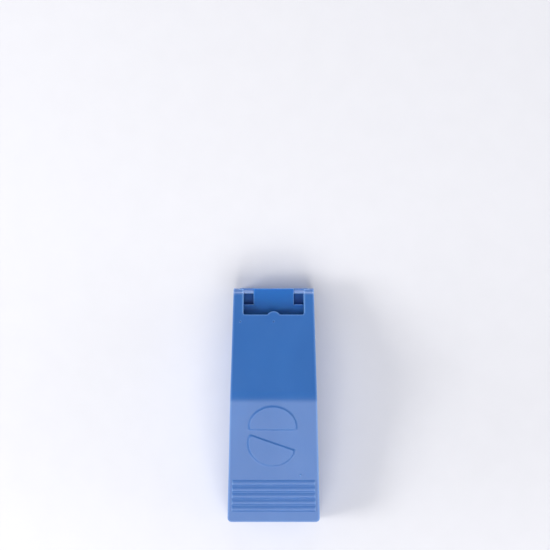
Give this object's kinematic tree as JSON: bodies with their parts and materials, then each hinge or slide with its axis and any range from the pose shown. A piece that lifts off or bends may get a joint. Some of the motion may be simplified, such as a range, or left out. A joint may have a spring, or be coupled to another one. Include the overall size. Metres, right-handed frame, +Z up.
{
  "type": "pill splitter",
  "caption": "Pocket pill splitter: tapered tray with a storage bin, a V-shaped flexing holder, and a hinged roof-shaped lid that carries a steel blade.",
  "frame": {"origin": "on the table, under the middle of the bounding box of the closed splitter", "axes": "+X across the width to the right as seen from the finger grip, +Y along the length from the finger grip to the hinge, +Z up"},
  "size_m": [0.034, 0.086, 0.0296],
  "materials": {
    "lid_plastic": "injection-moulded blue polypropylene, semi-gloss, fine mould texture",
    "tray_plastic": "injection-moulded blue polypropylene, semi-gloss",
    "holder_plastic": "flexible moulded blue plastic, satin",
    "blade_steel": "ground stainless steel with a double bevel",
    "pin_steel": "drawn stainless wire"
  },
  "bodies": {
    "base": {"base_tray": "tray_plastic", "holder_plate": "holder_plastic", "hinge_pin_right": "tray_plastic", "hinge_pin_left": "tray_plastic"},
    "grip_right": {"grip_arm_right": "holder_plastic"},
    "grip_left": {"grip_arm_left": "holder_plastic"},
    "lid": {"lid_shell": "lid_plastic", "blade": "blade_steel", "blade_clamp_right": "lid_plastic", "blade_clamp_left": "lid_plastic", "blade_pin_front": "pin_steel", "blade_pin_rear": "pin_steel"}
  },
  "joints": [
    {"name": "lid_hinge", "type": "hinge", "parent": "base", "child": "lid", "pos_m": [0, 0.0376, 0.0065], "axis": [-1, 0, 0], "range_deg": [0, 85]},
    {"name": "grip_right_flex", "type": "hinge", "parent": "base", "child": "grip_right", "pos_m": [0.002, 0.0257, 0.015], "axis": [0, 0, 1], "range_deg": [0, 3], "stiffness_Nm_per_rad": 0.05},
    {"name": "grip_left_flex", "type": "hinge", "parent": "base", "child": "grip_left", "pos_m": [-0.002, 0.0257, 0.015], "axis": [0, 0, -1], "range_deg": [0, 3], "stiffness_Nm_per_rad": 0.05}
  ]
}
